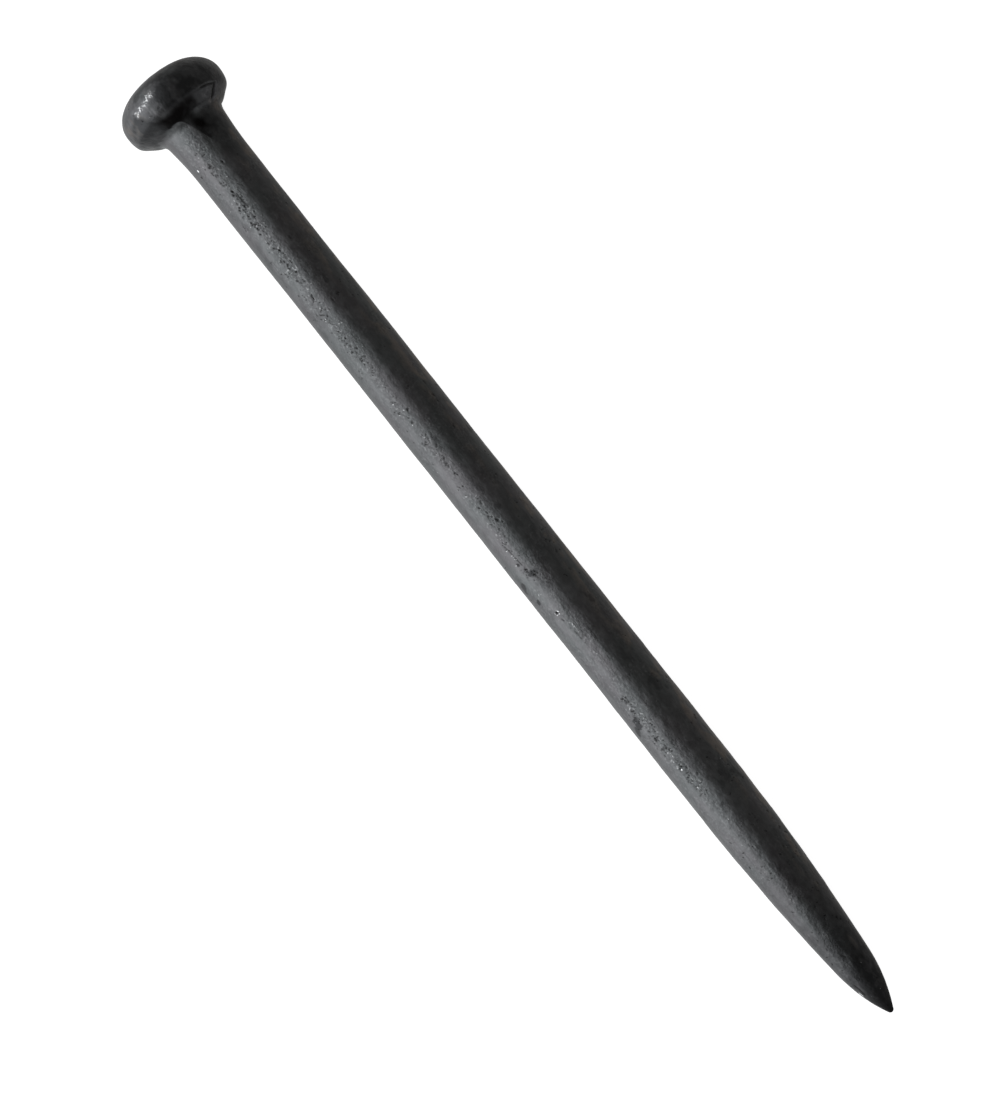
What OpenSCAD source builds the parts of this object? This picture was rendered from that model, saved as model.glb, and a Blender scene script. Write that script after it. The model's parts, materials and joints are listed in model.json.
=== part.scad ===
// Round forged spike, lying along +X.
// The origin is the centre of the driving face, and the point is at the +X end.
// All lengths are in millimetres.

/* [Bar] */
// Diameter of the round bar that the spike is forged from
bar_d = 25.4; // [22:0.1:28]
// Length from the seat under the head to the tip
under_head_len = 457.2; // [300:0.1:610]

/* [Head] */
// Largest diameter of the head
head_d = 47.6; // [45:0.1:54]
// Height of the head, from the driving face to the seat under it
head_h = 22.2; // [20.5:0.1:28]
// Diameter of the flat that is left in the middle of the driving face
face_d = 16.6; // [8:0.1:30]
// Height of the rounded crown, from the driving face to the largest diameter
crown_h = 11.8; // [8:0.1:13]
// Height of the lower edge of the rim, from the driving face
rim_h = 18.8; // [16:0.1:20]
// Diameter of the head at the lower edge of the rim
rim_edge_d = 43.4; // [40:0.1:44]

/* [Neck] */
// How much thicker than the bar the neck is, on the diameter
neck_swell = 2.2; // [1:0.1:4]
// Length of the fillet under the head, along the bar
fillet_len = 5; // [3:0.1:8]
// Width of the fillet under the head, across the bar
fillet_w = 3.8; // [2:0.1:3.9]
// Length over which the neck runs out to the plain bar
flare_len = 17.6; // [8:0.1:40]

/* [Point] */
// Radius of the long arc that draws the bar down towards the point
taper_r = 1036; // [600:1:1100]
// Slope of the outline where the long arc ends, in degrees
taper_end_slope = 5.3; // [4:0.1:6]
// Radius of the shorter arc that closes the nose
nose_r = 69; // [50:1:80]
// Radius of the blunt tip
tip_r = 1.4; // [0.6:0.1:3]

/* [Hidden] */
$fn = 128;

bar_r = bar_d / 2;
neck_r = bar_r + neck_swell / 2;
seat_r = neck_r + fillet_w;
tip_x = head_h + under_head_len;
fillet_end_x = head_h + fillet_len;
flare_end_x = fillet_end_x + flare_len;

// The long arc is tangent to the bar, the nose arc is tangent to the long arc,
// and the tip is tangent to the inside of the nose arc.
taper_end_r = bar_r - taper_r * (1 - cos(taper_end_slope));
nose_centre_r = taper_end_r - nose_r * cos(taper_end_slope);
tip_centre_x = tip_x - tip_r;
nose_centre_x = tip_centre_x - sqrt(pow(nose_r - tip_r, 2) - pow(nose_centre_r, 2));
nose_end_slope = atan2(tip_centre_x - nose_centre_x, -nose_centre_r);
taper_start_x = nose_centre_x + (nose_r - taper_r) * sin(taper_end_slope);

crown_steps = 20;
rim_steps = 10;
fillet_steps = 10;
flare_steps = 10;
taper_steps = 24;
nose_steps = 18;
tip_steps = 8;

// A point of the outline is [radius, distance from the driving face].
function arc_point(centre_x, centre_r, r, slope) =
    [centre_r + r * cos(slope), centre_x + r * sin(slope)];

// Crown: a quarter ellipse from the flat of the driving face out to the rim
function crown() = [
    for (i = [0:crown_steps])
        let (a = 90 * i / crown_steps)
        [face_d / 2 + (head_d - face_d) / 2 * sin(a), crown_h * (1 - cos(a))]
];

// Lower half of the rim: a quarter ellipse back in to its lower edge
function rim() = [
    for (i = [1:rim_steps])
        let (a = 90 * i / rim_steps)
        [rim_edge_d / 2 + (head_d - rim_edge_d) / 2 * cos(a), crown_h + (rim_h - crown_h) * sin(a)]
];

// Fillet: a hollow quarter ellipse from the seat down to the neck
function fillet() = [
    for (i = [0:fillet_steps])
        let (a = 90 * i / fillet_steps)
        [seat_r - fillet_w * sin(a), head_h + fillet_len * (1 - cos(a))]
];

// Flare: the neck runs out to the bar along a parabola
function flare() = [
    for (i = [1:flare_steps])
        let (t = i / flare_steps)
        [bar_r + (neck_r - bar_r) * pow(1 - t, 2), fillet_end_x + flare_len * t]
];

function taper() = [
    for (i = [0:taper_steps])
        arc_point(taper_start_x, bar_r - taper_r, taper_r, taper_end_slope * i / taper_steps)
];

function nose() = [
    for (i = [1:nose_steps])
        arc_point(nose_centre_x, nose_centre_r, nose_r,
            taper_end_slope + (nose_end_slope - taper_end_slope) * i / nose_steps)
];

function tip() = [
    for (i = [1:tip_steps])
        arc_point(tip_centre_x, 0, tip_r, nose_end_slope + (90 - nose_end_slope) * i / tip_steps)
];

// The whole spike is one forging: head, neck, shank and point are one bar of steel.
module spike() {
    color("#34373a")
        rotate([0, 90, 0])
            rotate_extrude()
                polygon(concat([[0, 0]], crown(), rim(), fillet(), flare(), taper(), nose(), tip()));
}

spike();
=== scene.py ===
"""A round forged spike with a button head, lying on a pale floor under soft studio light.

Everything is in metres in the part's own frame, unless a comment says otherwise. X runs along the spike from
the driving face to the tip, and Z is up. A place on the skin of the spike is given by its distance from the
driving face and by its angle round the axis, which is 0 on top, 90 degrees towards +Y and -90 degrees
towards -Y.
"""

import json
import math

import bpy
import numpy as np
from mathutils import Matrix, Vector, noise


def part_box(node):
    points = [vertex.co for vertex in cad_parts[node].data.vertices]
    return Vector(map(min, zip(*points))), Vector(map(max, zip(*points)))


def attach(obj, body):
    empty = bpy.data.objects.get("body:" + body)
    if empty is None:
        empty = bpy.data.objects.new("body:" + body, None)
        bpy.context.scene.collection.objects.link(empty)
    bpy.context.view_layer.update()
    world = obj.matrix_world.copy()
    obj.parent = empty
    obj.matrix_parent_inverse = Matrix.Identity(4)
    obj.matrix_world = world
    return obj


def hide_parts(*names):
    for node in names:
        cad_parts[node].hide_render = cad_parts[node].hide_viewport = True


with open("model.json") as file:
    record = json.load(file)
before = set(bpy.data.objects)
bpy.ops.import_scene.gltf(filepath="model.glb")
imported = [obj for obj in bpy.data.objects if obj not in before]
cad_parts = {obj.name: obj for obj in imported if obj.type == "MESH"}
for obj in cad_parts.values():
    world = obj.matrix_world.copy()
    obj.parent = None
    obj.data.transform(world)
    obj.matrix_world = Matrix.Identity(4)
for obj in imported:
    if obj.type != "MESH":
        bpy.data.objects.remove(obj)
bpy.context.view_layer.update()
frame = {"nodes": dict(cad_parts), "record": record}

MM = 0.001
NODE = "spike"
mounts = {mount["name"]: mount for mount in frame["record"]["mounts"]}
shank = mounts["shank"]
bar_r = shank["dims"]["r_mm"] * MM
neck_x = mounts["head_seat"]["pos_m"][0]
taper_x = shank["pos_m"][0] + shank["dims"]["length_mm"] * MM / 2
tip_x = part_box(NODE)[1].x

# How finely the skin is meshed: closer rings on the head and neck and at the tip, and closer sides on top
HEAD_STEP = 0.4 * MM
BAR_STEP = 0.46 * MM
TIP_STEP = 0.2 * MM
NECK_LENGTH = 15 * MM
TIP_LENGTH = 6 * MM
SIDES = 180
TOP_SHARE = 0.35

# The outline is eased by a bell curve that reaches this many steps to each side.
EASE_REACH = 20
EASE_STEP = 0.1 * MM

# How far the middle of the head and the end of the point are from the axis of the bar, along Y
HEAD_SHIFT = -0.65 * MM
POINT_LEAN = -0.73 * MM

SEED = 1872
# How far stains and crusts are turned from the spike's length, as a standard deviation in degrees
TURN_SPREAD = 28.6

# Colours of the steel: its scale, what lies on the scale or in it, and the bare metal. The soot and pit
# colours also paint the shade under the head.
BLUE_SCALE = (0.11, 0.117, 0.119)
VIOLET_SCALE = (0.118, 0.116, 0.121)
PALE_SCALE = (0.18, 0.183, 0.188)
DARK_LINES = (0.07, 0.072, 0.076)
BROWN_SCALE = (0.19, 0.17, 0.155)
DARK_GRAINS = (0.05, 0.05, 0.052)
PALE_GRAINS = (0.26, 0.26, 0.265)
SOOT_AND_SHADE = (0.044, 0.045, 0.047)
PIT_AND_SHADE_BLACK = (0.009, 0.008, 0.008)
BARE_STEEL = (0.8, 0.81, 0.82)


def smooth_step(value, start, end):
    """0 up to start, 1 from end on, and an eased rise between them."""
    t = np.clip((value - start) / (end - start), 0, 1)
    return t * t * (3 - 2 * t)


def cad_outline():
    """The CAD outline as arc length, x and radius, from the middle of the driving face to the tip."""
    corners = np.array([v.co for v in frame["nodes"][NODE].data.vertices], float)
    x = np.round(corners[:, 0], 5)
    radius = np.hypot(corners[:, 1], corners[:, 2])
    stations = np.unique(x)
    x_line = np.concatenate([[0.0], stations])
    r_line = np.array([0.0] + [radius[x == station].max() for station in stations])
    length = np.concatenate([[0.0], np.cumsum(np.hypot(np.diff(x_line), np.diff(r_line)))])
    return length, x_line, r_line


def spaced(start, end, step):
    """Evenly spaced places about a step apart, half a step in from each end."""
    count = int((end - start) / step)
    return start + (np.arange(count) + 0.5) * (end - start) / count


def skin_rings():
    """Arc length, x, radius and outward normal of every ring of the skin.

    The outline's corners are eased, except at the tip, which keeps the CAD radius.
    """
    length, x_line, r_line = cad_outline()
    total = length[-1]
    fine = np.arange(0, total, EASE_STEP)
    weights = np.exp(-0.5 * (np.arange(-EASE_REACH, EASE_REACH + 1) / (EASE_REACH / 2.5)) ** 2)
    weights /= weights.sum()
    # The outline is carried on past both ends, mirrored about the axis, so that it stays smooth there.
    before = np.arange(-EASE_REACH, 0) * EASE_STEP
    after = fine[-1] + np.arange(1, EASE_REACH + 1) * EASE_STEP
    around = np.concatenate([before, fine, after])
    folded = total - np.abs(total - np.abs(around))
    side = np.where((around < 0) | (around > total), -1.0, 1.0)
    x_eased = np.convolve(np.interp(folded, length, x_line), weights, "valid")
    r_eased = np.convolve(np.interp(folded, length, r_line) * side, weights, "valid")
    # Over the first half of the tip, the eased outline runs back into the CAD outline.
    kept = smooth_step(fine, total - TIP_LENGTH, total - TIP_LENGTH / 2)
    x_eased += (np.interp(fine, length, x_line) - x_eased) * kept
    r_eased += (np.interp(fine, length, r_line) - r_eased) * kept
    neck_end = np.interp(neck_x + NECK_LENGTH, x_line, length)
    at = np.concatenate([
        spaced(0, neck_end, HEAD_STEP),
        spaced(neck_end, total - TIP_LENGTH, BAR_STEP),
        spaced(total - TIP_LENGTH, total, TIP_STEP),
    ])
    x = np.interp(at, fine, x_eased)
    r = np.interp(at, fine, r_eased)
    dx = np.gradient(x, at)
    dr = np.gradient(r, at)
    size = np.hypot(dx, dr)
    return at, x, r, -dr / size, dx / size


ring_s, ring_x, ring_r, normal_x, normal_r = skin_rings()
side_angle = np.arange(SIDES) * 2 * math.pi / SIDES - math.pi
side_angle -= TOP_SHARE * np.sin(side_angle)
grid = np.stack([
    ring_x[:, None] + 0 * side_angle,
    ring_r[:, None] * np.sin(side_angle),
    ring_r[:, None] * np.cos(side_angle),
], -1)

# The marks on the skin are given in millimetres and degrees, so the grid's x is kept in millimetres too.
x_mm = grid[..., 0] / MM
neck_mm = neck_x / MM


def grain(size_along, size_across, octaves, seed):
    """Smooth noise from about -1 to 1 on every grid point, with features of the given sizes."""
    seed_distance = 17.3
    roughness = 1.0
    octave_ratio = 2.0
    sizes = (size_along * MM, size_across * MM, size_across * MM)
    points = grid.reshape(-1, 3) / sizes + seed * seed_distance
    values = [
        noise.fractal(point, roughness, octave_ratio, octaves, noise_basis="PERLIN_NEW")
        for point in points.tolist()]
    return np.array(values).reshape(x_mm.shape)


def facing(angle):
    """How much each side of the skin faces an angle in degrees: 1 at the angle, and -1 opposite it."""
    return np.cos(side_angle - np.radians(angle))


# How far the skin stands out, in millimetres, and how strong each of its covers is, from 0 to about 1
height = np.zeros_like(x_mm)
pitted = np.zeros_like(x_mm)
rubbed = np.zeros_like(x_mm)
coarse = np.zeros_like(x_mm)
sooty = np.zeros_like(x_mm)
rusty = np.zeros_like(x_mm)
covers = {"pitted": pitted, "rubbed": rubbed, "coarse": coarse, "sooty": sooty, "rusty": rusty}

# Noise that more than one cover uses
ragged = grain(3, 2, octaves=3, seed=9)
flaked = grain(1.5, 1.3, octaves=2, seed=10)
cloudy = grain(9, 9, octaves=3, seed=8)

# Regions of the skin
on_bar = smooth_step(x_mm, neck_mm, neck_mm + 12)
lower_half = smooth_step(x_mm, 200, 340) * (1 - smooth_step(x_mm, 410, 450))
right_rim = smooth_step(facing(65), 0.7, 0.95) * (1 - on_bar)


def window(x, angle, reach):
    """The rings and sides within reach of a place on the skin, and their distances from it along and across.

    Here everything is in metres and radians.
    """
    smallest_r = 1 * MM
    ring = int(np.argmin(np.abs(ring_x - x)))
    rows = np.nonzero(np.abs(ring_s - ring_s[ring]) < reach)[0]
    turn = (side_angle - angle + math.pi) % (2 * math.pi) - math.pi
    # Rings that are narrower than this one need more of their sides.
    wider_reach = reach * 1.3
    columns = np.nonzero(np.abs(turn) * max(ring_r[ring], smallest_r) < wider_reach)[0]
    along = (ring_s[rows] - ring_s[ring])[:, None] + 0 * turn[columns]
    across = ring_r[rows][:, None] * turn[columns]
    return np.ix_(rows, columns), along, across


def spot(x, angle, radius, turn, stretch, reach):
    """The skin round a place, and how far each point of it is from that place, as a share of the radius.

    The spot is drawn out by stretch along its own length, which is turned by turn from the spike's length.
    The skin is taken out to reach times that length.
    """
    radius = radius * MM
    turn = math.radians(turn)
    place, along, across = window(x * MM, math.radians(angle), radius * stretch * reach)
    length = (along * math.cos(turn) + across * math.sin(turn)) / stretch
    width = across * math.cos(turn) - along * math.sin(turn)
    return place, np.hypot(length, width) / radius


def pit(x, angle, radius, depth, turn=0, stretch=1, rim=0, darkness=1):
    """A hollow, with a raised rim if rim is above 0."""
    lip_middle = 1.2
    lip_width = 0.25
    place, ratio = spot(x, angle, radius, turn, stretch, 2)
    hollow = np.clip(1 - ratio ** 2, 0, 1)
    lip = np.exp(-((ratio - lip_middle) / lip_width) ** 2)
    height[place] += depth * (rim * lip - hollow)
    pitted[place] = np.maximum(pitted[place], hollow * darkness)


def rub(x, angle, radius, strength=1, turn=0, stretch=1):
    """A spot where the scale is knocked off and the steel is bright, fading out to its radius."""
    steepness = 1.3
    place, ratio = spot(x, angle, radius, turn, stretch, 1.5)
    brightness = strength * np.clip(steepness * (1 - ratio), 0, 1)
    rubbed[place] = np.maximum(rubbed[place], brightness)


def patch(field, edge, x, angle, radius, strength, turn=0, stretch=1):
    """A patch of one of the covers. The noise that is given as its edge moves the edge in and out."""
    fade_start = 0.6
    fade_end = 1.1
    raggedness = 0.9
    place, ratio = spot(x, angle, radius, turn, stretch, 1.5)
    outside = smooth_step(ratio - raggedness * edge[place], fade_start, fade_end)
    field[place] = np.maximum(field[place], strength * (1 - outside))


def groove(points, width, depth, darkness=1):
    """A crease along a line of places on the skin, each a distance and an angle in degrees."""
    width = width * MM
    for (x0, angle0), (x1, angle1) in zip(points[:-1], points[1:]):
        middle_x = (x0 + x1) / 2 * MM
        middle_angle = math.radians((angle0 + angle1) / 2)
        radius = ring_r[int(np.argmin(np.abs(ring_x - middle_x)))]
        start_s, end_s = np.interp([x0 * MM, x1 * MM], ring_x, ring_s)
        half = np.array([end_s - start_s, radius * math.radians(angle1 - angle0)]) / 2
        place, along, across = window(middle_x, middle_angle, math.hypot(*half) + 2 * width)
        share = np.clip((along * half[0] + across * half[1]) / (half @ half), -1, 1)
        away = np.hypot(along - share * half[0], across - share * half[1]) / width
        cut = np.exp(-away ** 2)
        height[place] = np.minimum(height[place], height[place] * (1 - cut) - depth * cut)
        pitted[place] = np.maximum(pitted[place], cut * darkness)


def scatter(rng, count, x_range, angle_mean, angle_spread, radius_range, depth_share):
    """Groups of pits scattered round a line along the bar, many with a small bright burr beside them.

    The line wanders from side to side, and a pit's depth is given as a share of its radius.
    """
    most_turn = 74.5
    for _ in range(count):
        x = rng.uniform(*x_range)
        wander = 4 * math.sin(x / 31) + 3 * math.sin(x / 11 + 1)
        angle = angle_mean + wander + rng.normal() * angle_spread
        radius = radius_range[0] + (radius_range[1] - radius_range[0]) * rng.random() ** 2
        radius_angle = math.degrees(radius * MM / bar_r)
        for _ in range(rng.integers(1, 4)):
            pit_x = x + rng.normal() * radius
            pit_angle = angle + rng.normal() * radius_angle
            size = radius * rng.uniform(0.6, 1)
            turn = rng.uniform(-most_turn, most_turn)
            stretch = rng.uniform(1, 2.4)
            pit(pit_x, pit_angle, size, size * depth_share, turn, stretch, darkness=rng.uniform(0.3, 1))
        rub(x + rng.normal() * radius, angle - 1.4 * radius_angle, radius, rng.uniform(-0.3, 0.5))


def trail(rng, start, end, count):
    """Places strewn along a line from start to end, each a distance and an angle, drawn one at a time."""
    for _ in range(count):
        share = rng.random()
        x = start[0] + (end[0] - start[0]) * share + rng.normal() * 0.2
        angle = start[1] + (end[1] - start[1]) * share + rng.normal() * 0.7
        yield x, angle


def forge_unevenly():
    """Swells, flats, drawn lines and plates of scale, in the height of the skin."""
    height[...] += 0.2 * grain(45, 14, octaves=1, seed=1) * (0.3 + 0.7 * on_bar)
    height[...] += 0.16 * grain(18, 8, octaves=2, seed=2) * (0.5 + 0.5 * lower_half)
    height[...] += 0.035 * grain(5, 3, octaves=2, seed=3)
    # Faint lines drawn out along the bar
    height[...] += 0.02 * grain(45, 1.8, octaves=2, seed=4) * on_bar
    # Plates of thicker scale, with a step at their edge, most of them on the lower half
    plates = smooth_step(grain(9, 5, octaves=3, seed=5), 0.1, 0.25)
    height[...] += 0.06 * plates * (0.2 + 0.8 * lower_half)


def coarsen():
    """Coarse scale: a band along the top, patches elsewhere, and the side of the head's rim towards +Y."""
    stations = (36, 130, 170, 290, 315, 370, 385)
    strengths = (0.85, 0.8, 0.4, 0.3, 0.6, 0.6, 0.35)
    band_middle = math.radians(-22) + 0.08 * np.sin(x_mm / 31)
    band = np.exp(-((side_angle - band_middle) / math.radians(12)) ** 2)
    band *= np.interp(x_mm, stations, strengths)
    patches = smooth_step(grain(14, 8, octaves=3, seed=6), -0.15, 0.35)
    coarse[...] = np.clip(0.12 + band + 0.35 * patches, 0, 1) * (0.3 + 0.7 * on_bar)
    coarse[...] += 0.5 * right_rim


def blacken():
    """Soot all over the head, with painted shade darkest under it and down the neck, and a point that is
    darker towards the tip.
    """
    # The soot, and a painted shadow of the head on the neck, end at an edge that runs furthest down the neck
    # on the side that faces +Y.
    sheltered = smooth_step(facing(60), 0.26, 0.9)
    soot_and_shade_end = neck_mm + 0.6 + 20 * sheltered + 0.9 * grain(6, 4, octaves=2, seed=7)
    fade = 0.3 + 8 * sheltered
    sooty[...] = 0.5 + 0.8 * cloudy + 0.4 * ragged
    # Painted shade: the head is darker from 8 mm on towards its underside, where the rim turns towards the
    # point; the rim's +Y side has less soot.
    sooty[...] += 0.4 * smooth_step(x_mm, 8, 17) - 0.3 * right_rim
    sooty[...] *= 1 - 0.4 * smooth_step(x_mm, neck_mm, neck_mm + 3)
    sooty[...] *= 1 - smooth_step(x_mm, soot_and_shade_end - fade / 2, soot_and_shade_end + fade)
    # Painted shadow: the hollow under the head is painted darkest, nearly black.
    hollow_middle = math.radians(-8) + 0.2 * cloudy
    hollow = smooth_step(np.cos(side_angle - hollow_middle), 0.86, 0.97)
    hollow *= smooth_step(x_mm, 17, 20)
    hollow *= 1 - smooth_step(x_mm, soot_and_shade_end - 0.3, soot_and_shade_end + 0.2)
    pitted[...] = np.clip(hollow * (0.9 + 0.5 * cloudy), 0, 1)
    # The point is darker and darker towards the tip.
    darker_to_tip = np.interp(x_mm, (380, 420, 447, 463, 480), (0, 0.3, 0.65, 0.9, 1))
    sooty[...] += darker_to_tip * (1 + 0.3 * cloudy + 0.6 * ragged)
    pitted[...] += np.interp(x_mm, (460, 480), (0, 0.8))


def discolour(rng):
    """Darker stains, paler crusts of scale and brownish scale."""
    patch(sooty, ragged, 328.2, -53, 2.2, 1.3, -45.8, 2)
    patch(sooty, ragged, 256, -60, 1.5, 1, -28.6, 2)
    patch(sooty, ragged, 265, -53, 1, 1)
    patch(sooty, ragged, 254, -27, 1.9, 1, 68.8, 1.3)
    for _ in range(60):
        x = rng.uniform(60, 450)
        angle = rng.uniform(-180, 180)
        radius = rng.uniform(0.8, 3)
        strength = rng.uniform(0.2, 0.6)
        turn = rng.normal() * TURN_SPREAD
        patch(sooty, ragged, x, angle, radius, strength, turn, rng.uniform(1, 2.5))
    # Paler crusts beside the pits
    for start, end, middle, count in ((44, 150, -24, 26), (200, 300, -28, 16), (316, 364, -28, 16)):
        for _ in range(count):
            x = rng.uniform(start, end)
            angle = middle + 8 * rng.normal()
            radius = rng.uniform(0.6, 1.5)
            strength = rng.uniform(0.1, 0.24)
            turn = rng.normal() * TURN_SPREAD
            patch(rubbed, flaked, x, angle, radius, strength, turn, rng.uniform(1, 2.2))
    # Brownish scale on the +Y side of the bar, and on the -Y side of the head
    brown_side = facing(np.where(x_mm < neck_mm, -85, 95))
    brown_clouds = smooth_step(grain(15, 6, octaves=4, seed=11), -0.05, 0.35)
    rusty[...] = brown_clouds * smooth_step(brown_side, 0.2, 0.75)


def pit_skin(rng):
    """Pits: a dense line of them on the upper half, scattered ones elsewhere, and some large single ones."""
    scatter(rng, 150, (36, 150), -25, 6, (0.25, 0.5), 0.6)
    scatter(rng, 60, (150, 245), -25, 8, (0.25, 0.5), 0.5)
    scatter(rng, 25, (36, 250), -42, 8, (0.25, 0.4), 0.4)
    scatter(rng, 14, (251, 257), -28, 6, (0.3, 0.6), 0.5)
    scatter(rng, 70, (315, 350), -30, 6, (0.25, 0.55), 0.5)
    scatter(rng, 30, (351, 366), -20, 8, (0.25, 0.55), 0.5)
    scatter(rng, 120, (40, 440), 45, 25, (0.25, 0.55), 0.4)
    scatter(rng, 140, (40, 440), 180, 60, (0.25, 0.6), 0.4)
    scatter(rng, 70, (385, 470), -20, 40, (0.25, 0.4), 0.3)
    scatter(rng, 20, (4, 18), 0, 90, (0.25, 0.5), 0.3)
    # The deepest pits of the line
    for x, angle in ((46, 1), (58, -20), (65, -29), (66, -32), (70, -25),
                     (73, -29), (79, -29), (89, -18), (100, -19), (113, -25)):
        pit(x, angle, 0.5, 0.4, turn=34.4, stretch=1.3)
    # A pit with a raised rim and a bright ring, which is 1 mm in radius, or 4.5 degrees on the bar
    ringed_x = 272.7
    ringed_angle = -33.5
    pit(ringed_x, ringed_angle, 0.75, 0.4, rim=0.4)
    for part in range(8):
        turn = math.radians(45 * part)
        rub(ringed_x + math.cos(turn), ringed_angle + 4.5 * math.sin(turn), 0.4, 0.8)
    # Two larger pits near the middle of the spike, the first with a bright edge
    pit(248.1, -35, 0.8, 0.4, stretch=1.2, darkness=0.7)
    rub(247.6, -40, 0.8, 0.6)
    pit(229, -11, 0.6, 0.4, turn=40.1, stretch=1.6, darkness=0.8)
    # Nicks on the -Y side
    for x, radius in ((254, 1), (263, 1.4), (344, 1.2), (408, 1), (150, 0.8)):
        pit(x, -90, radius, 0.25, stretch=1.6, darkness=0.6)


def crease(rng):
    """Creases, and drawn lines that are broken into short dashes."""
    groove([(60, -16), (63, -16), (67, -13)], 0.35, 0.12, 0.7)
    groove([(239, -33.5), (242, -31), (244, -31)], 0.3, 0.1, 0.5)
    groove([(245, -30), (246.5, -30), (249, -28.5)], 0.3, 0.1, 0.6)
    for start, end, count in (((220, -17), (236, -22), 9),
                              ((222, -23), (233, -25), 7),
                              ((275, -33), (290, -24), 12)):
        for x, angle in trail(rng, start, end, count):
            radius = rng.uniform(0.2, 0.35)
            stretch = rng.uniform(1.5, 4)
            pit(x, angle, radius, 0.1, 11.5, stretch, darkness=rng.uniform(0.2, 0.7))


def brighten(rng):
    """Bright spots: a worn streak on the rim, a nick on the neck, burrs, and small ones along the band."""
    streak = np.zeros_like(x_mm)
    patch(streak, flaked, 10.1, -26, 1.5, 0.8, 103.1, 3.4)
    patch(streak, flaked, 11, -36, 1.6, 1, 103.1, 1.4)
    patch(streak, flaked, 9.1, -16, 1.4, 1, 103.1, 1.5)
    sooty[...] *= 1 - streak
    rubbed[...] = np.maximum(rubbed, 0.48 * streak)
    rub(42.1, -52, 0.6, 1.3, stretch=1.6)
    for x, angle in trail(rng, (240, -34), (247, -31), 8):
        rub(x, angle, 0.35, rng.uniform(0.3, 0.7))
    rub(352.2, -32.5, 0.6)
    rub(357.8, -27, 0.5, 0.8, stretch=1.6)
    for x, angle in trail(rng, (344, -30), (352, -29), 16):
        rub(x, angle, 0.5, rng.uniform(0.2, 0.5))
    for _ in range(60):
        x = rng.uniform(36, 400)
        angle = -22 + rng.normal() * 12
        radius = rng.uniform(0.3, 0.4)
        rub(x, angle, radius, rng.uniform(0.2, 0.6))


def fold_and_chip():
    """The forging lap under the head with the fold that runs into it, and the chip near the point."""
    groove([(18.9, 57), (21, 55), (22.4, 53)], 0.72, 1)
    groove([(18.5, 34), (18.4, 44), (18.9, 57)], 0.5, 0.3, 0.8)
    groove([(18.6, 14), (18.5, 24), (18.5, 34)], 0.45, 0.08, 0.25)
    # The chip has bright metal in it and a dark line above it.
    pit(466, -80, 1, 0.25, stretch=2.2, darkness=0.3)
    rub(466, -70, 1, 1.3, stretch=2)
    groove([(461.5, -50), (464, -48), (467, -50)], 0.4, 0.12, 0.8)


def shape_skin():
    """Fills the fields with what forging, scale and handling left on the spike, and with painted shade under
    the head.
    """
    rng = np.random.default_rng(SEED)
    forge_unevenly()
    coarsen()
    blacken()
    discolour(rng)
    pit_skin(rng)
    crease(rng)
    brighten(rng)
    fold_and_chip()


def skin_vertices():
    """The skin's grid points, moved out by its height, and then the middle of each end."""
    outwards = height * MM
    moved = grid.copy()
    moved[..., 0] += outwards * normal_x[:, None]
    moved[..., 1] += outwards * normal_r[:, None] * np.sin(side_angle)
    moved[..., 2] += outwards * normal_r[:, None] * np.cos(side_angle)
    # The head was upset slightly off centre, and the point leans the same way.
    blend = 3 * MM
    head_shift = HEAD_SHIFT * (1 - smooth_step(ring_x, neck_x - blend, neck_x + blend))
    lean = POINT_LEAN * np.clip((ring_x - taper_x) / (tip_x - taper_x), 0, 1) ** 1.4
    moved[..., 1] += (head_shift + lean)[:, None]
    ends = np.array([[ring_x[0], head_shift[0], 0.0], [tip_x, lean[-1], 0.0]])
    return np.concatenate([moved.reshape(-1, 3), ends])


def build_spike():
    """The skin as one closed mesh, with its covers as point attributes."""
    vertices = skin_vertices()
    face_centre = len(vertices) - 2
    tip = len(vertices) - 1
    ring_count = len(ring_x)
    last_ring = (ring_count - 1) * SIDES
    faces = []
    for side in range(SIDES):
        after = (side + 1) % SIDES
        faces.append((face_centre, after, side))
        faces.append((tip, last_ring + side, last_ring + after))
        for ring in range(ring_count - 1):
            a = ring * SIDES + side
            b = ring * SIDES + after
            faces.append((a, b, b + SIDES, a + SIDES))
    mesh = bpy.data.meshes.new("forged_spike")
    mesh.from_pydata(vertices.tolist(), [], faces)
    mesh.polygons.foreach_set("use_smooth", [True] * len(mesh.polygons))
    strongest = 1.3
    for name, field in covers.items():
        attribute = mesh.attributes.new(name, "FLOAT", "POINT")
        values = np.concatenate([np.clip(field, 0, strongest).ravel(), [0, 0]])
        attribute.data.foreach_set("value", values.astype(np.float32))
    mesh.update()
    piece = bpy.data.objects.new("forged_spike", mesh)
    bpy.context.scene.collection.objects.link(piece)
    return piece


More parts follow.
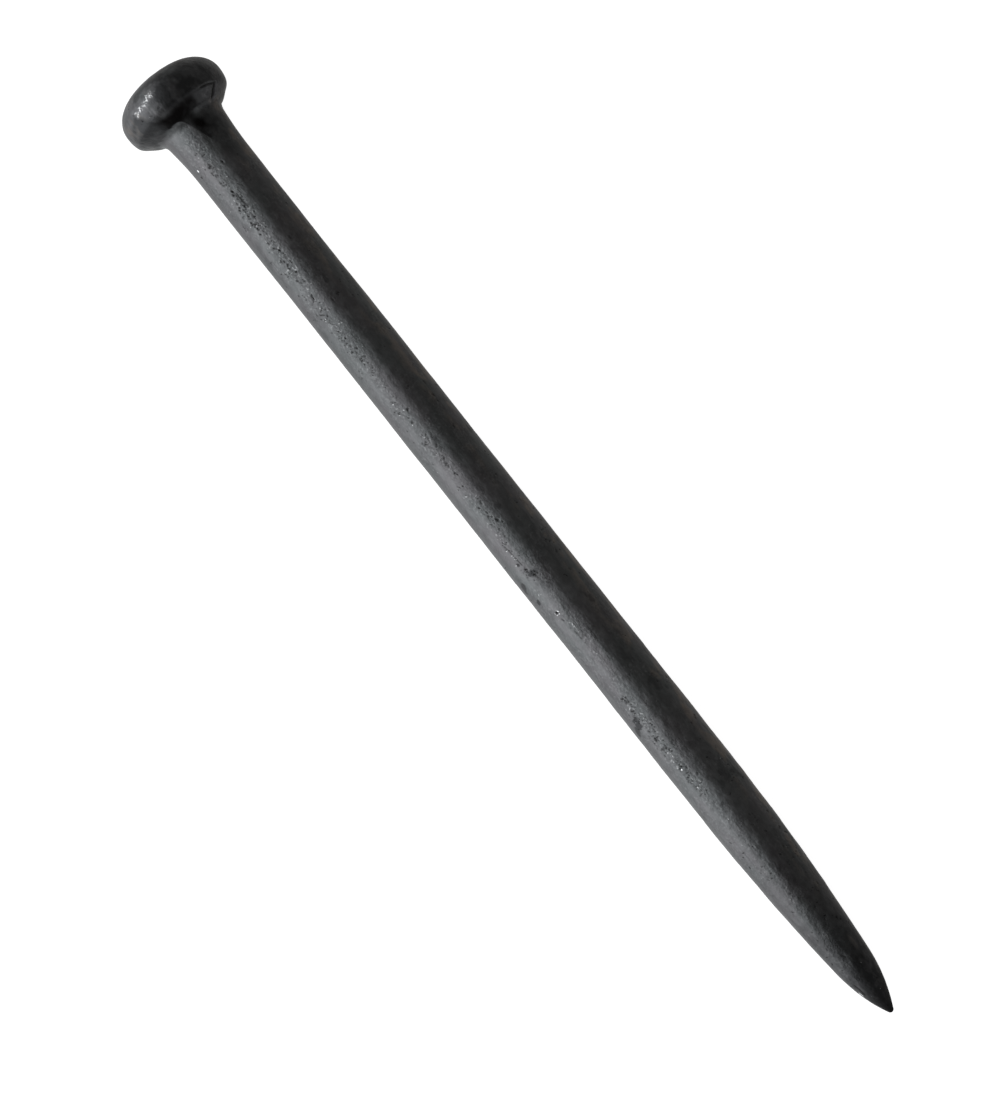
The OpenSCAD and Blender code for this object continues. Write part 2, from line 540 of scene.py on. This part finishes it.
class NodeTree:
    """The node tree of a material or world. A value is a number, a colour or another node's output."""

    def __init__(self, owner):
        owner.use_nodes = True
        self.nodes = owner.node_tree.nodes
        self.links = owner.node_tree.links

    def feed(self, value, socket):
        """Links a node's output to a socket, or sets the socket to a number or colour."""
        if isinstance(value, bpy.types.NodeSocket):
            self.links.new(value, socket)
        elif isinstance(value, tuple):
            socket.default_value = (*value, 1)
        else:
            socket.default_value = value

    def ranged(self, value, from_low, from_high, to_low, to_high):
        """The value carried over from one range to another, and held at its ends."""
        node = self.nodes.new("ShaderNodeMapRange")
        node.inputs["From Min"].default_value = from_low
        node.inputs["From Max"].default_value = from_high
        node.inputs["To Min"].default_value = to_low
        node.inputs["To Max"].default_value = to_high
        self.feed(value, node.inputs["Value"])
        return node.outputs["Result"]

    def combined(self, kind, first, second):
        """Two numbers put together by one operation."""
        node = self.nodes.new("ShaderNodeMath")
        node.operation = kind
        self.feed(first, node.inputs[0])
        self.feed(second, node.inputs[1])
        return node.outputs["Value"]

    def mixed(self, factor, first, second):
        """A colour between two others."""
        node = self.nodes.new("ShaderNodeMix")
        node.data_type = "RGBA"
        colour_inputs = [socket for socket in node.inputs if socket.type == "RGBA"]
        self.feed(factor, node.inputs["Factor"])
        self.feed(first, colour_inputs[0])
        self.feed(second, colour_inputs[1])
        return next(socket for socket in node.outputs if socket.type == "RGBA")

    def vectors(self, kind, *values):
        """Two or three colours put together by one operation on each of their parts."""
        node = self.nodes.new("ShaderNodeVectorMath")
        node.operation = kind
        for value, socket in zip(values, node.inputs):
            self.feed(value, socket)
        return node.outputs["Vector"]

    def coordinates(self, name):
        """One of the sets of texture coordinates."""
        return self.nodes.new("ShaderNodeTexCoord").outputs[name]

    def attribute(self, name):
        """One of the mesh's point attributes."""
        node = self.nodes.new("ShaderNodeAttribute")
        node.attribute_name = name
        return node.outputs["Fac"]

    def noise_texture(self, size_along, size_across, detail):
        """Noise with features of the given sizes in millimetres."""
        mapping = self.nodes.new("ShaderNodeMapping")
        along = 1 / (size_along * MM)
        across = 1 / (size_across * MM)
        mapping.inputs["Scale"].default_value = (along, across, across)
        self.feed(self.coordinates("Object"), mapping.inputs["Vector"])
        texture = self.nodes.new("ShaderNodeTexNoise")
        texture.inputs["Scale"].default_value = 1.0
        texture.inputs["Detail"].default_value = detail
        self.feed(mapping.outputs["Vector"], texture.inputs["Vector"])
        return texture.outputs["Fac"]

    def ramp(self, value, low, high, stops):
        """A colour for each value from low to high, from pairs of a value and a colour."""
        node = self.nodes.new("ShaderNodeValToRGB")
        elements = node.color_ramp.elements
        while len(elements) < len(stops):
            elements.new(0.5)
        for element, (at, colour) in zip(elements, stops):
            element.position = (at - low) / (high - low)
            element.color = (*colour, 1)
        self.feed(self.ranged(value, low, high, 0, 1), node.inputs["Fac"])
        return node.outputs["Color"]


def forged_steel():
    """Blue-black mill scale on forged steel, with darker pits, soot, painted shade under the head, brown
    traces and rubbed bright spots.
    """
    material = bpy.data.materials.new("forged_steel")
    tree = NodeTree(material)
    shader = tree.nodes["Principled BSDF"]
    shader.inputs["Metallic"].default_value = 1.0
    cloud = tree.noise_texture(25, 10, 3)
    mottle = tree.noise_texture(4, 2.6, 5)
    speckle = tree.noise_texture(1.1, 0.9, 5)
    streak = tree.noise_texture(30, 1.2, 3)
    cover = {name: tree.attribute(name) for name in covers}

    colour = tree.mixed(tree.ranged(cloud, 0.4, 0.6, 0, 1), BLUE_SCALE, VIOLET_SCALE)
    colour = tree.mixed(tree.ranged(mottle, 0.4, 0.7, 0, 0.5), colour, PALE_SCALE)
    colour = tree.mixed(tree.ranged(streak, 0.5, 0.75, 0, 0.35), colour, DARK_LINES)
    brown = tree.combined("MULTIPLY", cover["rusty"], tree.ranged(mottle, 0.35, 0.6, 0.3, 1))
    colour = tree.mixed(brown, colour, BROWN_SCALE)
    dark_grains = tree.combined("MULTIPLY", tree.ranged(speckle, 0.4, 0.6, 0.6, 0), cover["coarse"])
    colour = tree.mixed(dark_grains, colour, DARK_GRAINS)
    pale_grains = tree.combined("MULTIPLY", tree.ranged(speckle, 0.58, 0.72, 0, 0.6), cover["coarse"])
    colour = tree.mixed(pale_grains, colour, PALE_GRAINS)
    # Soot darkens the colour, and so does the painted shade under the head and down the neck.
    colour = tree.mixed(cover["sooty"], colour, SOOT_AND_SHADE)
    # Pits are near black, and so is the painted shadow in the hollow under the head.
    colour = tree.mixed(cover["pitted"], colour, PIT_AND_SHADE_BLACK)
    wear = tree.combined("ADD", cover["rubbed"], tree.ranged(speckle, 0.35, 0.65, -0.3, 0.3))
    colour = tree.mixed(tree.ranged(wear, 0.35, 0.95, 0, 1), colour, BARE_STEEL)
    tree.feed(colour, shader.inputs["Base Color"])

    rough_scale = tree.ranged(mottle, 0.3, 0.75, 0.3, 0.42)
    rough_pits = tree.ranged(cover["pitted"], 0, 1, 0, 0.3)
    tree.feed(tree.combined("ADD", rough_scale, rough_pits), shader.inputs["Roughness"])

    grains = tree.combined("MULTIPLY", speckle, tree.ranged(cover["coarse"], 0, 1, 0.15, 0.9))
    lumps = tree.combined("MULTIPLY", mottle, 0.8)
    lines = tree.combined("MULTIPLY", streak, tree.ranged(cover["sooty"], 0, 0.3, 0.25, 0))
    relief = tree.combined("ADD", tree.combined("ADD", grains, lumps), lines)
    bump = tree.nodes.new("ShaderNodeBump")
    bump.inputs["Strength"].default_value = 1.0
    bump.inputs["Distance"].default_value = 0.25 * MM
    tree.feed(relief, bump.inputs["Height"])
    tree.feed(bump.outputs["Normal"], shader.inputs["Normal"])
    return material


def make_floor():
    """A wide pale plane. The spike rests on the rim of its head and on the start of its point."""
    clearance = 0.15 * MM
    half_width = 12.0
    underside = [(x, -r) for x, r in zip(ring_x, ring_r)]
    rim_x, rim_z = min(underside, key=lambda place: place[1])
    past_head = rim_x + 50 * MM
    slope = min((z - rim_z) / (x - rim_x) for x, z in underside if x > past_head)
    corners = []
    for side_x, side_y in ((-1, -1), (1, -1), (1, 1), (-1, 1)):
        x = side_x * half_width
        corners.append((x, side_y * half_width, rim_z + slope * (x - rim_x) - clearance))
    mesh = bpy.data.meshes.new("floor")
    mesh.from_pydata(corners, [], [(0, 1, 2, 3)])
    floor = bpy.data.objects.new("floor", mesh)
    bpy.context.scene.collection.objects.link(floor)
    material = bpy.data.materials.new("pale_floor")
    shader = NodeTree(material).nodes["Principled BSDF"]
    shader.inputs["Base Color"].default_value = (0.4, 0.4, 0.4, 1)
    shader.inputs["Roughness"].default_value = 0.9
    shader.inputs["Emission Color"].default_value = (1, 1, 1, 1)
    shader.inputs["Emission Strength"].default_value = 0.95
    mesh.materials.append(material)
    floor.visible_glossy = False
    floor.visible_diffuse = False
    floor.visible_shadow = False


# Brightness of the light by the direction that it comes from. Round the spike, the direction is in degrees:
# 0 from above, 90 from +Y and -90 from -Y. Along the spike, it is -1 from beyond the driving face and 1 from
# beyond the tip.
LIGHT_AROUND = (
    (-180, 0.25), (-148, 0.3), (-120, 0.47), (-98, 0.55), (-84, 0.85), (-58, 0.93), (-45, 0.85), (-30, 0.62),
    (-18, 0.38), (-6, 0.2), (6, 0.1), (20, 0.07), (75, 0.07), (100, 0.11), (180, 0.16))
LIGHT_ALONG = ((-1, 0.8), (-0.7, 1), (0.1, 1), (0.3, 0.75), (0.5, 0.45), (0.7, 0.25), (1, 0.2))
END_LIGHT_AROUND = ((-180, 0.15), (-90, 0.12), (0, 0.06), (60, 0.2), (110, 0.3), (180, 0.15))
END_LIGHT_ALONG = ((-1, 0.3), (-0.75, 0), (0.5, 0), (0.7, 1))
COOL = (0.99, 1.0, 1.01)
WARM = (1.02, 1.0, 0.97)
WHITE = (1, 1, 1)
LIGHT_STRENGTH = 2.2


def make_world():
    """Soft studio light, brightest low on the -Y side, and fading over the top and towards both ends.

    The camera sees plain white, so that the floor has no horizon.
    """
    world = bpy.data.worlds.new("studio")
    bpy.context.scene.world = world
    tree = NodeTree(world)
    parts = tree.nodes.new("ShaderNodeSeparateXYZ")
    tree.feed(tree.coordinates("Generated"), parts.inputs["Vector"])
    along = parts.outputs["X"]
    around = tree.combined("ARCTAN2", parts.outputs["Y"], parts.outputs["Z"])

    def light(value, low, high, levels):
        """A grey for each value, from pairs of a value and a brightness."""
        return tree.ramp(value, low, high, [(at, (level, level, level)) for at, level in levels])

    def in_radians(levels):
        """The same pairs, with their degrees turned into radians."""
        return [(math.radians(degrees), level) for degrees, level in levels]

    # The brightest part lies lower beside the point than beside the head.
    turned = tree.combined("ADD", around, tree.ranged(along, -0.25, 0.5, 0, math.radians(32)))
    tinted = []
    for angle, level in in_radians(LIGHT_AROUND):
        tint = COOL if angle < 0 else WARM
        tinted.append((angle, [level * part for part in tint]))
    sides = tree.ramp(turned, -math.pi, math.pi, tinted)
    lengthways = light(along, -1, 1, LIGHT_ALONG)
    end_sides = light(around, -math.pi, math.pi, in_radians(END_LIGHT_AROUND))
    end_lengthways = light(along, -1, 1, END_LIGHT_ALONG)
    ends = tree.vectors("MULTIPLY", end_sides, end_lengthways)
    both = tree.vectors("MULTIPLY_ADD", sides, lengthways, ends)

    seen_by_camera = tree.nodes.new("ShaderNodeLightPath").outputs["Is Camera Ray"]
    background = tree.nodes["Background"]
    tree.feed(tree.mixed(seen_by_camera, both, WHITE), background.inputs["Color"])
    tree.feed(tree.ranged(seen_by_camera, 0, 1, LIGHT_STRENGTH, 1), background.inputs["Strength"])


def make_camera():
    """Nearly straight down on the spike, turned so that it runs from the upper left to the lower right."""
    distance = 1.2092
    tilt = math.radians(4.0)
    roll = math.radians(51.67)
    focal_pixels = 3000
    frame_height_pixels = 1100
    sensor_width = 36
    aim = Vector((0.2381, -0.0092, 0))
    back = Vector((math.sin(tilt), 0, math.cos(tilt)))
    along = Vector((math.cos(tilt), 0, -math.sin(tilt)))
    across = Vector((0, 1, 0))
    right = along * math.cos(roll) + across * math.sin(roll)
    up = across * math.cos(roll) - along * math.sin(roll)
    data = bpy.data.cameras.new("camera")
    data.sensor_width = sensor_width
    data.lens = sensor_width * focal_pixels / frame_height_pixels
    camera = bpy.data.objects.new("camera", data)
    turned = Matrix((right, up, back)).transposed().to_4x4()
    camera.matrix_world = Matrix.Translation(aim + back * distance) @ turned
    bpy.context.scene.collection.objects.link(camera)
    bpy.context.scene.camera = camera


shape_skin()
spike = build_spike()
spike.data.materials.append(forged_steel())
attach(spike, "root")
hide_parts(NODE)

make_floor()
make_world()
make_camera()
bpy.context.scene.view_settings.view_transform = "Standard"
